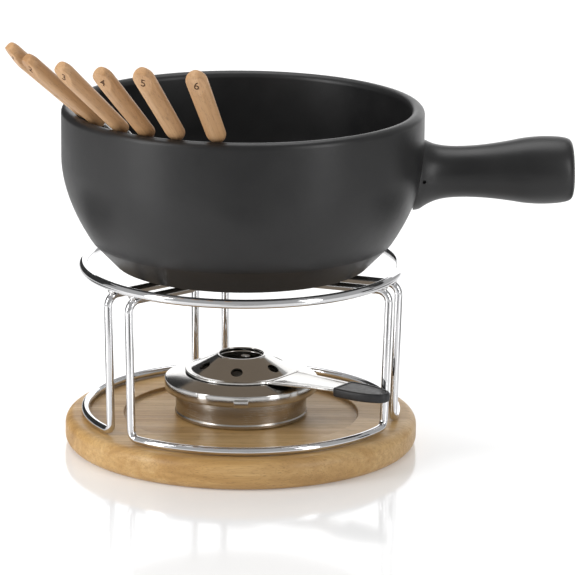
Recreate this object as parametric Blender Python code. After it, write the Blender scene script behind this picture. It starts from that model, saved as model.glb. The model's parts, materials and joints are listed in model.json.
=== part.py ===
"""Fondue pot set: a stoneware pot on a wire stand over a paste burner, on a round
wooden board, with six forks in the pot.  Metres, +Z up.  The origin is the centre
of the board's underside, +X points along the pot's handle and -Y is the front.
Azimuths are measured from the front (-Y) towards +X."""
import math

import bpy
from mathutils import Matrix, Vector

# ---- driving dimensions -------------------------------------------------------
GAP = 0.0003                # clearance between touching pieces

BOARD_RADIUS = 0.108
BOARD_THICKNESS = 0.0185
BOARD_EDGE = 0.0062         # rounding of the board's rim
RECESS_RADIUS = 0.072
RECESS_DEPTH = 0.0025

RING_RADIUS = 0.0966        # centreline of the stand's top ring
RING_WIRE = 0.00275         # wire radii
LEG_WIRE = 0.0025
ARC_RADIUS = 0.0957         # centreline of the arcs on the board
LEG_TOP_RADIUS = 0.0975
LEG_SPREAD = 0.0097         # from the middle of a pair of legs to each leg
PAIR_AZIMUTHS = (-49.0, 70.5, 192.0)
KNEE_BEND = 0.007           # bend radii of the wires' centreline
FOOT_BEND = 0.005
SUPPORT_INNER = 0.046       # where the wires end under the pot
POT_BASE = 0.1093           # height of the pot's underside

POT_RADIUS = 0.110
POT_TOP = 0.211
LIP_RADIUS = 0.004          # the lip is a half round, twice this thick
BELLY_TOP = 0.180           # the wall is upright above this height
BAND_RADIUS = 0.0915        # soft ridge where the bowl meets its foot band
BAND_HEIGHT = 0.1285
FOOT_RADIUS = 0.077
FOOT_HEIGHT = 0.1138
BASE_RADIUS = 0.058
POT_FLOOR = 0.1178
FLOOR_RADIUS = 0.054

HANDLE_AXIS = 0.1676        # height where the pot handle's axis meets the pot's own
HANDLE_TILT = 1.5           # degrees that it rises
HANDLE_CUT = 0.032          # half height of the wall that its root is cut to
HANDLE_OUTLINE = (          # distance from the pot's axis, radius
    (0.0950, 0.0230), (0.1050, 0.0222), (0.1110, 0.0197), (0.1170, 0.0172),
    (0.1250, 0.0158), (0.1360, 0.0156), (0.1480, 0.0164), (0.1600, 0.0180),
    (0.1720, 0.0200), (0.1830, 0.0206), (0.1925, 0.0201), (0.1980, 0.0188),
    (0.2003, 0.0168))

FORK_LENGTH = 0.221
FORK_WOOD = 0.077           # length, width and thickness of the wooden handle
FORK_WIDTH = 0.0128
FORK_THICKNESS = 0.0096
FORK_TAPER = (0.90, 0.83)   # width and thickness of its lower end, as shares of the upper
FORK_ENDS = (               # rounding of both ends: depth from the end, share of the full width
    (0.0, 0.45), (0.0004, 0.52), (0.0014, 0.70), (0.0028, 0.86), (0.0044, 0.96), (0.0064, 1.0))
FLAT_LENGTH = 0.016         # slanted flat at the top of the handle, on its outer face
FLAT_DEPTH = 0.0034
FORK_SHAFT = 0.0018         # radius of the steel shaft
TANG_LENGTH = 0.019
PRONG_LENGTH = 0.025
PRONG_SPACING = 0.0066
PRONG_WIRE = 0.0012
FORKS = (                   # azimuth on the lip, azimuth of lean, slope, overhang inside the lip
    (-72.5, -45.5, 38.5, 0.0030), (-62.0, -43.5, 38.0, 0.0085), (-46.5, -35.5, 38.0, 0.0070),
    (-34.5, -26.5, 38.5, 0.0065), (-22.5, -20.0, 39.5, 0.0035), (-8.5, -12.5, 39.5, 0.0030))

BURNER_Y = 0.00625          # the burner stands a little behind the middle
CUP_RADIUS = 0.0408
CUP_WALL = 0.0010
CUP_RIM = 0.0400
PAD_TOP = 0.0320
CAP_RADIUS = 0.0471
CAP_SKIRT = 0.0324          # height of the skirt's lower edge
CAP_SHOULDER = 0.0393
LUG_HALF_WIDTH = 0.0045     # plain lug on the front of the cap's skirt
LUG_HEIGHT = 0.0046
LUG_DEPTH = 0.0011
LUG_BEVEL = 0.0008
CAP_SEAT = 0.0427           # height of the flat that the regulator turns on
SEAT_INNER = 0.0310
SEAT_OUTER = 0.0360
CONE_MOUTH = 0.0142         # radius and height of the fixed cone's mouth
CONE_TOP = 0.0519
SHEET = 0.0008              # thickness of the cap and of the dome
PLATE = 0.0015              # thickness of the regulator's flange and arm
FLANGE_RADIUS = 0.0345
AIR_HOLES = 6
AIR_HOLE_RADIUS = 0.00365
AIR_HOLE_CIRCLE = 0.0238
ARM_AZIMUTH = 53.5
ARM_STATIONS = (            # distance from the burner's axis, half width, height of the underside
    (0.0312, 0.0168, 0.0431), (0.0390, 0.0155, 0.0433), (0.0490, 0.0135, 0.0436),
    (0.0620, 0.0114, 0.0441), (0.0760, 0.0097, 0.0445), (0.0880, 0.0060, 0.0447))
GRIP_STATIONS = (           # distance from the burner's axis, half width
    (0.0756, 0.0086), (0.0764, 0.0098), (0.0784, 0.0104), (0.0845, 0.0106), (0.0930, 0.0102),
    (0.1000, 0.0088), (0.1055, 0.0064), (0.1085, 0.0040), (0.1098, 0.0018))
GRIP_BOTTOM = 0.0417
GRIP_TOP = 0.0472

ROUND = 48                  # steps of the large turned pieces
ARC_STEPS = 22              # steps of a wire's arc on the board
SMALL_ROUND = 12            # steps of rods and bores


# ---- tools --------------------------------------------------------------------
def clear_scene():
    for old in list(bpy.data.objects):
        bpy.data.objects.remove(old, do_unlink=True)


def make_material(name, colour, metallic, roughness):
    material = bpy.data.materials.new(name)
    material.use_nodes = True
    shader = material.node_tree.nodes["Principled BSDF"]
    shader.inputs["Base Color"].default_value = (*colour, 1.0)
    shader.inputs["Metallic"].default_value = metallic
    shader.inputs["Roughness"].default_value = roughness
    return material


def empty(name, location, parent=None):
    pivot = bpy.data.objects.new(name, None)
    bpy.context.collection.objects.link(pivot)
    pivot.location = location
    pivot.parent = parent
    return pivot


def place(name, data, parent, material=None):
    thing = bpy.data.objects.new(name, data)
    bpy.context.collection.objects.link(thing)
    thing.parent = parent
    if material:
        data.materials.append(material)
    return thing


def mesh_from(name, points, faces=(), edges=()):
    mesh = bpy.data.meshes.new(name)
    mesh.from_pydata([tuple(p) for p in points], list(edges), list(faces))
    return mesh


def smooth(mesh, angle=35.0):
    mesh.shade_smooth()
    mesh.set_sharp_from_angle(angle=math.radians(angle))


def turned(name, outline, parent, material=None, steps=ROUND, closed=False):
    """Turn an outline of (radius, height) points about Z.  It runs down the outer side."""
    points = [(radius, 0.0, height) for radius, height in outline]
    edges = [(i, i + 1) for i in range(len(points) - 1)]
    if closed:
        edges.append((len(points) - 1, 0))
    thing = place(name, mesh_from(name, points, edges=edges), parent, material)
    screw = thing.modifiers.new("turn", "SCREW")
    screw.steps = steps
    screw.render_steps = steps
    screw.use_merge_vertices = True
    screw.merge_threshold = 0.00001
    screw.use_smooth_shade = True
    return thing


def lofted(name, rings, parent, material=None):
    """Join rings of points, each anticlockwise seen from the last ring, and close both ends."""
    count = len(rings[0])
    faces = [tuple(reversed(range(count)))]
    for k in range(len(rings) - 1):
        low = k * count
        for i in range(count):
            j = (i + 1) % count
            faces.append((low + i, low + j, low + count + j, low + count + i))
    last = (len(rings) - 1) * count
    faces.append(tuple(range(last, last + count)))
    mesh = mesh_from(name, [p for ring in rings for p in ring], faces)
    smooth(mesh)
    return place(name, mesh, parent, material)


def wire(name, points, radius, parent, material=None, sides=2, tip=1.0):
    """A round wire along the points; tip scales the radius at both ends."""
    curve = bpy.data.curves.new(name, "CURVE")
    curve.dimensions = "3D"
    curve.bevel_depth = radius
    curve.bevel_resolution = sides
    curve.use_fill_caps = True
    spline = curve.splines.new("POLY")
    spline.points.add(len(points) - 1)
    for node, point in zip(spline.points, points):
        node.co = (*point, 1.0)
    spline.points[0].radius = tip
    spline.points[-1].radius = tip
    return place(name, curve, parent, material)


def cut(thing, cutter, operation="DIFFERENCE"):
    """Cut with, or join to, another object, which becomes a hidden guide."""
    boolean = thing.modifiers.new(cutter.name, "BOOLEAN")
    boolean.operation = operation
    boolean.object = cutter
    cutter.hide_render = True
    cutter.display_type = "WIRE"


def baked(thing, name, guides):
    """The finished mesh of an object whose modifiers are done; the object and its guides go."""
    view = bpy.context.evaluated_depsgraph_get()
    mesh = bpy.data.meshes.new_from_object(thing.evaluated_get(view))
    mesh.name = name
    smooth(mesh)
    for used in (thing, *guides):
        bpy.data.objects.remove(used, do_unlink=True)
    return mesh


def arc(centre, radius, start, end, count):
    """Points of an arc in the plane of an outline; angles in degrees from the +radius axis."""
    points = []
    for i in range(count + 1):
        angle = math.radians(start + (end - start) * i / count)
        points.append((centre[0] + radius * math.cos(angle), centre[1] + radius * math.sin(angle)))
    return points


def heading(azimuth):
    angle = math.radians(azimuth)
    return Vector((math.sin(angle), -math.cos(angle), 0.0))


def round_corner(before, corner, after, radius, count=4):
    """The arc that rounds a corner of a path."""
    back = (before - corner).normalized()
    ahead = (after - corner).normalized()
    half = back.angle(ahead) / 2
    reach = radius / math.tan(half)
    centre = corner + (back + ahead).normalized() * radius / math.sin(half)
    start = corner + back * reach - centre
    end = corner + ahead * reach - centre
    return [centre + start.slerp(end, i / count) * radius / start.slerp(end, i / count).length
            for i in range(count + 1)]


# ---- board --------------------------------------------------------------------
def make_board(wood):
    top = BOARD_THICKNESS
    rim = BOARD_RADIUS - BOARD_EDGE
    outline = [(0.0, top - RECESS_DEPTH), (RECESS_RADIUS - 0.0012, top - RECESS_DEPTH),
               (RECESS_RADIUS, top - RECESS_DEPTH + 0.0012), (RECESS_RADIUS, top - 0.0006),
               (RECESS_RADIUS + 0.0006, top)]
    outline += arc((rim, top - BOARD_EDGE), BOARD_EDGE, 90, 0, 4)
    outline += arc((rim, BOARD_EDGE), BOARD_EDGE, 0, -90, 4)
    outline += [(0.0, 0.0)]
    turned("wooden_board", outline, empty("board", (0, 0, 0)), wood)


# ---- wire stand ---------------------------------------------------------------
def wire_path(first_pair, second_pair):
    """One bent wire, from under the pot by one pair of legs to under the pot by the next."""
    foot_height = BOARD_THICKNESS + GAP + LEG_WIRE
    top_height = POT_BASE - GAP - LEG_WIRE
    corners = []
    for azimuth, side in ((first_pair, 1), (second_pair, -1)):
        out = heading(azimuth)
        across = heading(azimuth + 90) * side * LEG_SPREAD
        corners.append([out * SUPPORT_INNER + across, out * LEG_TOP_RADIUS + across,
                        out * math.sqrt(ARC_RADIUS ** 2 - LEG_SPREAD ** 2) + across])
    for inner, knee, foot in corners:
        inner.z = knee.z = top_height
        foot.z = foot_height
    offset = math.degrees(math.asin(LEG_SPREAD / ARC_RADIUS))
    start = first_pair + offset
    end = second_pair - offset
    floor_arc = []
    for i in range(1, ARC_STEPS):
        point = heading(start + (end - start) * i / ARC_STEPS) * ARC_RADIUS
        point.z = foot_height
        floor_arc.append(point)
    (inner_a, knee_a, foot_a), (inner_b, knee_b, foot_b) = corners
    path = [inner_a]
    path += round_corner(inner_a, knee_a, foot_a, KNEE_BEND)
    path += round_corner(knee_a, foot_a, floor_arc[0], FOOT_BEND)
    path += floor_arc[1:-1]
    path += round_corner(floor_arc[-1], foot_b, knee_b, FOOT_BEND)
    path += round_corner(foot_b, knee_b, inner_b, KNEE_BEND)
    path.append(inner_b)
    return path


def make_stand(chrome):
    stand = empty("stand", (0, 0, BOARD_THICKNESS))
    ring_height = POT_BASE + RING_WIRE
    section = arc((RING_RADIUS, ring_height - stand.location.z), RING_WIRE, 0, -315, 7)
    turned("stand_ring", section, stand, chrome, steps=60, closed=True)
    pairs = (*PAIR_AZIMUTHS, PAIR_AZIMUTHS[0] + 360)
    for i, side in enumerate(("front", "back", "left")):
        path = [point - stand.location for point in wire_path(pairs[i], pairs[i + 1])]
        wire("stand_wire_" + side, path, LEG_WIRE, stand, chrome)


# ---- pot ----------------------------------------------------------------------
def pot_wall(height):
    """Outer radius of the bowl between the ridge of its foot band and its upright rim."""
    fall = max(0.0, (BELLY_TOP - height) / (BELLY_TOP - BAND_HEIGHT))
    return POT_RADIUS - (POT_RADIUS - BAND_RADIUS) * fall ** 1.85


def wall_points(low, high, count, offset=0.0):
    heights = [high + (low - high) * i / count for i in range(count + 1)]
    return [(pot_wall(height) + offset, height - POT_BASE) for height in heights]


def make_pot(glaze, pot):
    inner_radius = POT_RADIUS - 2 * LIP_RADIUS
    lip = (POT_RADIUS - LIP_RADIUS, POT_TOP - LIP_RADIUS - POT_BASE)
    bowl = [(0.0, POT_FLOOR - POT_BASE)]
    for i in range(9):
        angle = math.radians(90 - 90 * i / 8)
        bowl.append((FLOOR_RADIUS + (inner_radius - FLOOR_RADIUS) * math.cos(angle),
                     BELLY_TOP - 0.005 - POT_BASE - (BELLY_TOP - 0.005 - POT_FLOOR) * math.sin(angle)))
    bowl += arc(lip, LIP_RADIUS, 180, 0, 8)
    bowl += wall_points(BAND_HEIGHT, BELLY_TOP, 7)
    bowl += [(FOOT_RADIUS + 0.0012, FOOT_HEIGHT - POT_BASE + 0.0010),
             (FOOT_RADIUS - 0.0012, FOOT_HEIGHT - POT_BASE - 0.0003),
             (BASE_RADIUS, 0.0), (0.0, 0.0)]
    turned("pot_body", bowl, pot, glaze, steps=56)


def make_pot_handle(glaze, pot):
    """Turned about its own axis, and cut to the curve of the bowl that it is luted on to."""
    outline = [(0.0, HANDLE_OUTLINE[-1][0] + 0.0008)]
    outline += [(radius, along) for along, radius in reversed(HANDLE_OUTLINE)]
    outline += [(0.0, HANDLE_OUTLINE[0][0])]
    handle = turned("pot_handle", outline, pot, glaze, steps=28)
    handle.location.z = HANDLE_AXIS - POT_BASE
    handle.rotation_euler.y = math.radians(90 - HANDLE_TILT)
    low, high = HANDLE_AXIS - HANDLE_CUT, HANDLE_AXIS + HANDLE_CUT
    cutter = [(0.0, high - POT_BASE), *wall_points(low, high, 8, GAP), (0.0, low - POT_BASE)]
    cut(handle, turned("pot_wall_cutter", cutter, pot, steps=56))


# ---- forks --------------------------------------------------------------------
def fork_frame(lip_azimuth, lean_azimuth, slope, overhang):
    """Placement of a fork whose handle lies on the lip: X across, Y up off the lip, Z along.
    The origin is the lower end of its wooden handle."""
    across = heading(lip_azimuth + 90)
    lip = heading(lip_azimuth) * (POT_RADIUS - LIP_RADIUS)
    lip.z = POT_TOP - LIP_RADIUS
    along = heading(lean_azimuth) * math.cos(math.radians(slope))
    along.z = math.sin(math.radians(slope))
    above = across.cross(along).normalized()
    if above.z < 0:
        above.negate()
    side = above.cross(along)
    rest = FORK_THICKNESS / 2 * (FORK_TAPER[1] + 0.02)
    start = lip + above * (LIP_RADIUS + GAP + rest) - along * overhang
    return Matrix((side, above, along)).transposed().to_4x4(), start


def oval(half_width, half_thickness, height, count=16):
    ring = []
    for i in range(count):
        angle = 2 * math.pi * i / count
        x, y = math.cos(angle), math.sin(angle)
        ring.append((math.copysign(abs(x) ** 0.8, x) * half_width,
                     math.copysign(abs(y) ** 0.8, y) * half_thickness, height))
    return ring


def fork_handle_mesh():
    """Flat oval stick with rounded ends, a slanted flat at the top and a bore for the tang."""
    sizes = [(depth, share) for depth, share in FORK_ENDS]
    sizes += [(FORK_WOOD - depth, share) for depth, share in reversed(FORK_ENDS)]
    rings = []
    for height, scale in sizes:
        wide, thick = (share + (1 - share) * height / FORK_WOOD for share in FORK_TAPER)
        rings.append(oval(FORK_WIDTH / 2 * wide * scale, FORK_THICKNESS / 2 * thick * scale ** 0.3, height))
    stick = lofted("stick", rings, None)
    bore = turned("bore", [(0.0, TANG_LENGTH + GAP), (FORK_SHAFT + GAP, TANG_LENGTH + GAP),
                           (FORK_SHAFT + GAP, -0.002), (0.0, -0.002)], None, steps=SMALL_ROUND)
    cut(stick, bore)
    flat = lofted("flat", [[(FORK_WIDTH, y, z), (FORK_WIDTH, y - FORK_WIDTH, z),
                            (-FORK_WIDTH, y - FORK_WIDTH, z), (-FORK_WIDTH, y, z)]
                           for y, z in ((-FORK_THICKNESS / 2, FORK_WOOD - FLAT_LENGTH),
                                        (FLAT_DEPTH - FORK_THICKNESS / 2, FORK_WOOD + 0.001))], None)
    cut(stick, flat)
    return baked(stick, "fork_handle", (bore, flat))


def fork_prong_mesh():
    """A straight shaft with a tang at one end and two pointed prongs at the other."""
    tip = FORK_WOOD - FORK_LENGTH
    crook = tip + PRONG_LENGTH
    half = PRONG_SPACING / 2
    bend = [Vector((-half * math.cos(math.radians(30 * i)), 0.0, crook + half * math.sin(math.radians(30 * i))))
            for i in range(7)]
    path = [Vector((-half, 0, tip)), Vector((-half, 0, tip + 0.006)), *bend,
            Vector((half, 0, tip + 0.006)), Vector((half, 0, tip))]
    prongs = wire("prongs", path, PRONG_WIRE, None, tip=0.3)
    for end in (1, -2):
        prongs.data.splines[0].points[end].radius = 1.0
    view = bpy.context.evaluated_depsgraph_get()
    view.update()
    prong_mesh = bpy.data.meshes.new_from_object(prongs.evaluated_get(view))
    bpy.data.objects.remove(prongs, do_unlink=True)
    yoke = place("yoke", prong_mesh, None)
    shaft = turned("shaft", [(0.0, TANG_LENGTH), (FORK_SHAFT, TANG_LENGTH),
                             (FORK_SHAFT, crook + half - 0.0004), (0.0, crook + half - 0.0004)],
                   None, steps=SMALL_ROUND)
    cut(shaft, yoke, "UNION")
    return baked(shaft, "fork_prongs", (yoke,))


def make_forks(wood, steel, pot):
    handle_mesh = fork_handle_mesh()
    handle_mesh.materials.append(wood)
    prong_mesh = fork_prong_mesh()
    prong_mesh.materials.append(steel)
    for number, (lip_azimuth, lean_azimuth, slope, overhang) in enumerate(FORKS, 1):
        turn, start = fork_frame(lip_azimuth, lean_azimuth, slope, overhang)
        axis = empty(f"fork_{number}", start - pot.location, pot)
        axis.rotation_euler = turn.to_euler()
        place(f"fork_{number}_handle", handle_mesh, axis)
        place(f"fork_{number}_prongs", prong_mesh, axis)


# ---- burner -------------------------------------------------------------------
def make_cup(steel, pad, mesh_steel, burner):
    floor = BOARD_THICKNESS - RECESS_DEPTH + GAP
    inner = CUP_RADIUS - CUP_WALL
    cup = [(0.0, floor + CUP_WALL), (inner - 0.001, floor + CUP_WALL), (inner, floor + CUP_WALL + 0.001),
           (inner, CUP_RIM), (CUP_RADIUS, CUP_RIM), (CUP_RADIUS, floor + 0.001),
           (CUP_RADIUS - 0.001, floor), (0.0, floor)]
    turned("burner_cup", cup, burner, steel)
    low = floor + CUP_WALL + GAP
    side = inner - GAP
    turned("burner_wadding", [(0.0, PAD_TOP), (side, PAD_TOP), (side, low + 0.001), (side - 0.001, low),
                              (0.0, low)], burner, pad, steps=32)
    mesh_low = PAD_TOP + GAP
    turned("burner_gauze", [(0.0, mesh_low + SHEET), (side, mesh_low + SHEET), (side, mesh_low),
                            (0.0, mesh_low)], burner, mesh_steel, steps=32)


def cone_height(radius, mouth_height=CONE_TOP, seat_height=CAP_SEAT):
    """Height of the fixed cone's outer surface at a radius."""
    return seat_height + (mouth_height - seat_height) * (SEAT_INNER - radius) / (SEAT_INNER - CONE_MOUTH)


def air_hole_cutter(name, parent):
    """Six drills square to the cone, in one hidden mesh."""
    slope = math.atan2(CONE_TOP - CAP_SEAT, SEAT_INNER - CONE_MOUTH)
    points, faces = [], []
    for hole in range(AIR_HOLES):
        out = heading(ARM_AZIMUTH + 360 / AIR_HOLES * hole)
        normal = out * math.sin(slope) + Vector((0, 0, math.cos(slope)))
        side = normal.cross(out).normalized()
        centre = out * AIR_HOLE_CIRCLE + Vector((0, 0, cone_height(AIR_HOLE_CIRCLE)))
        base = len(points)
        for reach in (-0.004, 0.004):
            for i in range(SMALL_ROUND):
                angle = 2 * math.pi * i / SMALL_ROUND
                spoke = side * math.cos(angle) + normal.cross(side) * math.sin(angle)
                points.append(centre + normal * reach + spoke * AIR_HOLE_RADIUS)
        low = list(range(base, base + SMALL_ROUND))
        high = [i + SMALL_ROUND for i in low]
        faces.append(tuple(reversed(low)))
        faces.append(tuple(high))
        for i in range(SMALL_ROUND):
            j = (i + 1) % SMALL_ROUND
            faces.append((low[i], low[j], high[j], high[i]))
    return place(name, mesh_from(name, points, faces), parent)


def make_cap(chrome, cap):
    """Pressed lid: skirt, sloping shoulder, a flat seat and a fixed cone, in one sheet."""
    upper = [(CONE_MOUTH, CONE_TOP), (SEAT_INNER, CAP_SEAT), (SEAT_OUTER, CAP_SEAT),
             (CAP_RADIUS - 0.0008, CAP_SHOULDER), (CAP_RADIUS, CAP_SHOULDER - 0.0008), (CAP_RADIUS, CAP_SKIRT)]
    lower = [(CAP_RADIUS - SHEET, CAP_SKIRT), (CAP_RADIUS - SHEET, CAP_SHOULDER - 0.0012),
             (CAP_RADIUS - SHEET - 0.0006, CAP_SHOULDER - 0.0009), (SEAT_OUTER - 0.0002, CAP_SEAT - SHEET),
             (SEAT_INNER - 0.0002, CAP_SEAT - SHEET), (CONE_MOUTH - 0.0004, CONE_TOP - SHEET)]
    lid = turned("burner_cap", upper + lower, cap, chrome, closed=True)
    cut(lid, air_hole_cutter("cap_holes", cap))
    lug = []
    for inset, depth in ((0.0, 0.0), (LUG_BEVEL, LUG_DEPTH)):
        half = LUG_HALF_WIDTH - inset
        front = -(CAP_RADIUS + GAP + depth)
        low, high = CAP_SKIRT + inset, CAP_SKIRT + LUG_HEIGHT - inset
        lug.append([(-half, front, low), (half, front, low), (half, front, high), (-half, front, high)])
    lofted("cap_lug", lug, cap, chrome)


def arm_rings(clearance=0.0, stretch=0.0):
    """Sections of the regulator's arm, or of the slot that takes its end."""
    out = heading(ARM_AZIMUTH)
    across = heading(ARM_AZIMUTH + 90)
    rings = []
    for distance, half, height in ARM_STATIONS:
        half += clearance
        low = Vector((0, 0, height - clearance))
        high = Vector((0, 0, height + PLATE + clearance))
        place_at = out * (distance + stretch)
        rings.append([place_at + across * half + low, place_at + across * half + high,
                      place_at - across * half + high, place_at - across * half + low])
    return rings


def make_regulator(chrome, plastic, regulator):
    lift = GAP + 0.0002         # room between the fixed cone and the dome
    seat = CAP_SEAT + GAP
    outer = [(CONE_MOUTH + 0.0006, CONE_TOP + lift + SHEET + 0.0006), (SEAT_INNER + 0.0006, seat + PLATE),
             (FLANGE_RADIUS - 0.0004, seat + PLATE), (FLANGE_RADIUS, seat + PLATE - 0.0004),
             (FLANGE_RADIUS, seat), (SEAT_INNER + 0.0002, seat), (CONE_MOUTH + 0.0002, CONE_TOP + lift),
             (CONE_MOUTH - 0.0004, CONE_TOP + lift + 0.0006),
             (CONE_MOUTH - 0.0002, CONE_TOP + lift + SHEET + 0.0007)]
    dome = turned("burner_regulator", outer, regulator, chrome, closed=True)
    cut(dome, air_hole_cutter("dome_holes", regulator))
    cut(dome, lofted("arm", arm_rings(), regulator), "UNION")
    out = heading(ARM_AZIMUTH)
    across = heading(ARM_AZIMUTH + 90)
    middle = (GRIP_TOP + GRIP_BOTTOM) / 2
    rings = []
    for index, (distance, half) in enumerate(GRIP_STATIONS):
        end = index in (0, len(GRIP_STATIONS) - 1)
        thick = (GRIP_TOP - GRIP_BOTTOM) / 2 - (0.0007 if end else 0.0)
        rings.append([out * distance + across * half * side + Vector((0, 0, middle + thick * up))
                      for side, up in ((1, -0.75), (1, 0.75), (0.93, 1), (-0.93, 1),
                                       (-1, 0.75), (-1, -0.75), (-0.93, -1), (0.93, -1))])
    grip = lofted("regulator_grip", rings, regulator, plastic)
    cut(grip, lofted("grip_slot", arm_rings(GAP, GAP), regulator))


def main():
    clear_scene()
    beech = make_material("beech_board", (0.57, 0.37, 0.16), 0.0, 0.45)
    stick = make_material("beech_fork", (0.60, 0.35, 0.15), 0.0, 0.5)
    chrome = make_material("chrome", (0.75, 0.75, 0.76), 1.0, 0.12)
    steel = make_material("brushed_steel", (0.55, 0.54, 0.52), 1.0, 0.35)
    glaze = make_material("black_glaze", (0.02, 0.02, 0.02), 0.0, 0.45)
    plastic = make_material("black_plastic", (0.025, 0.025, 0.03), 0.0, 0.5)
    wadding = make_material("wadding", (0.75, 0.73, 0.68), 0.0, 0.95)
    make_board(beech)
    make_stand(chrome)
    pot = empty("pot", (0, 0, POT_BASE))
    make_pot(glaze, pot)
    make_pot_handle(glaze, pot)
    make_forks(stick, steel, pot)
    burner = empty("burner", (0, BURNER_Y, 0))
    make_cup(steel, wadding, steel, burner)
    cap = empty("cap", (0, 0, 0), burner)
    make_cap(chrome, cap)
    make_regulator(chrome, plastic, empty("regulator", (0, 0, 0), cap))


main()
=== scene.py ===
"""Fondue pot set: the looks of the pot, its wire stand, the paste burner, the wooden
board and the six forks.  Metres, +Z up, -Y is the front.  Azimuths are measured from
the front (-Y) towards +X."""
import json
import math

import bmesh
import bpy
from mathutils import Matrix, Vector, noise


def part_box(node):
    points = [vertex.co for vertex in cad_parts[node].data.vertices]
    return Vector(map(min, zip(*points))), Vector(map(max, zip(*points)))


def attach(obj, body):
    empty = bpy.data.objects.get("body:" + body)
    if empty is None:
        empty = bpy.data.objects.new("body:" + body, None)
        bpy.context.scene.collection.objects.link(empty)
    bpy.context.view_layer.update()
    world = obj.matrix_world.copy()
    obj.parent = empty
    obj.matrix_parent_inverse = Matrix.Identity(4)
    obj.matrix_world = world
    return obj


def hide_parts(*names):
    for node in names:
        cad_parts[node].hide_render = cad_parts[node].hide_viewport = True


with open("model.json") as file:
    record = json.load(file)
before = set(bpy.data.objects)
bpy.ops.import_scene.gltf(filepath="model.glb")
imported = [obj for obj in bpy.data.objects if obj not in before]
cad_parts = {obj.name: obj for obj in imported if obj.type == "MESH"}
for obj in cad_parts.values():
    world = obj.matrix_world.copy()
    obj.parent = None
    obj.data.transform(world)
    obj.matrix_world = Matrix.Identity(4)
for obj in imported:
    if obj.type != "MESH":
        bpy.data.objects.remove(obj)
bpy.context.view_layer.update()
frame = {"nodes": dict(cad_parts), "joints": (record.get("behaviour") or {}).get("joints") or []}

# ---- sizes taken from the frame ---------------------------------------------------
GAP = 0.0003
BOARD_RADIUS, BOARD_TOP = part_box("wooden_board")[1].x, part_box("wooden_board")[1].z
RING_LOW, RING_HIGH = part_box("stand_ring")
RING_WIRE = (RING_HIGH.z - RING_LOW.z) / 2
RING_RADIUS = RING_HIGH.x - RING_WIRE
POT_LOW, POT_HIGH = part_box("pot_body")
POT_BASE, POT_TOP, POT_RADIUS = POT_LOW.z, POT_HIGH.z, POT_HIGH.x
CUP_LOW, CUP_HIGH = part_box("burner_cup")
BURNER = (CUP_LOW + CUP_HIGH) / 2
CUP_RADIUS = (CUP_HIGH.x - CUP_LOW.x) / 2
CAP_LOW, CAP_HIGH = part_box("burner_cap")
CAP_RADIUS = (CAP_HIGH.x - CAP_LOW.x) / 2
GRIP_LOW, GRIP_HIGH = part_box("regulator_grip")
LUG_LOW, LUG_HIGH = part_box("cap_lug")

# ---- shapes of the pieces ---------------------------------------------------------
BOARD_EDGE = 0.0062         # rounding of the board's rim
RECESS_RADIUS = 0.072
RECESS_DEPTH = 0.0025
LEG_WIRE = 0.0025
ARC_RADIUS = 0.0957         # of the wires where they lie on the board
ARC_STEPS = 90
LEG_TOP_RADIUS = 0.0975
LEG_SPREAD = 0.0097         # half the distance between the two legs of a pair
PAIR_AZIMUTHS = (-49.0, 70.5, 192.0)
KNEE_BEND = 0.007
FOOT_BEND = 0.005
SUPPORT_INNER = 0.046       # where the wires end under the pot
WELD_BEAD = (0.0030, 0.0021, 0.0016)    # half sizes: along the ring, through it, up
WIRE_SIDES = 20
LIP_RADIUS = 0.004
BELLY_TOP = 0.180
BAND_RADIUS = 0.0915
BAND_HEIGHT = 0.1285
FOOT_RADIUS = 0.077
FOOT_HEIGHT = 0.1138
BASE_RADIUS = 0.058
POT_FLOOR = 0.1178
FLOOR_RADIUS = 0.054
HANDLE_AXIS = 0.1676
HANDLE_TILT = 1.5
HANDLE_SEAT = 0.0010        # how far the handle's root reaches into the bowl's wall
VENT_RADII = (0.0010, 0.0013)
VENT_DEPTH = 0.006
VENT_PLACE = (0.0016, -0.0200, 0.1096)  # in the handle's own frame, whose Z is its axis
HANDLE_OUTLINE = (          # distance from the pot's axis, radius
    (0.1030, 0.0230), (0.1052, 0.0227), (0.1075, 0.0219), (0.1110, 0.0197), (0.1170, 0.0172),
    (0.1250, 0.0158), (0.1360, 0.0156), (0.1480, 0.0164), (0.1600, 0.0180), (0.1720, 0.0200),
    (0.1830, 0.0206), (0.1925, 0.0201), (0.1980, 0.0188), (0.2001, 0.0166), (0.2010, 0.0130))
FORK_ENDS = (               # rounding of a stick's ends: depth from the end, share of the full width
    (0.0, 0.43), (0.0003, 0.50), (0.0008, 0.60), (0.0015, 0.71), (0.0023, 0.81), (0.0033, 0.90),
    (0.0044, 0.96), (0.0055, 0.99), (0.0066, 1.0))
FLAT_LENGTH = 0.016
FLAT_DEPTH = 0.0034
FORK_WIDTH = 0.0128
FORK_THICKNESS = 0.0096
FORK_TAPER = (0.90, 0.83)   # width and thickness at the shaft's end, as shares of the outer end's
FORK_SQUARENESS = 0.84      # under 1 fills out the oval of the section
FORK_SIDES = 40
FORK_SHAFT = 0.0018
PRONG_LENGTH = 0.025
PRONG_SPACING = 0.0066
PRONG_WIRE = 0.0012
PRONG_TAPER = 0.0045
COLLAR_RADIUS = FORK_SHAFT * 1.45
COLLAR_LENGTH = 0.0011
COLLAR_GAP = 0.0001
NUMERAL_SIZE = 0.0066
NUMERAL_STRETCH = 1.35
NUMERAL_DEPTH = 0.0003
NUMERAL_WEIGHT = 0.00009    # added all round its strokes
SHEET = 0.0008
PLATE = 0.0015
PAN_SHEET = 0.0010
PAN_INNER = CUP_RADIUS - PAN_SHEET
SEAT_INNER = 0.0310
SEAT_OUTER = 0.0360
SEAT_HEIGHT = 0.0427
CONE_MOUTH = 0.0142
CONE_TOP = 0.0519
SHOULDER_HEIGHT = 0.0393
FLANGE_RADIUS = 0.0345
AIR_HOLES = 6
AIR_HOLE_RADIUS = 0.00365
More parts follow.
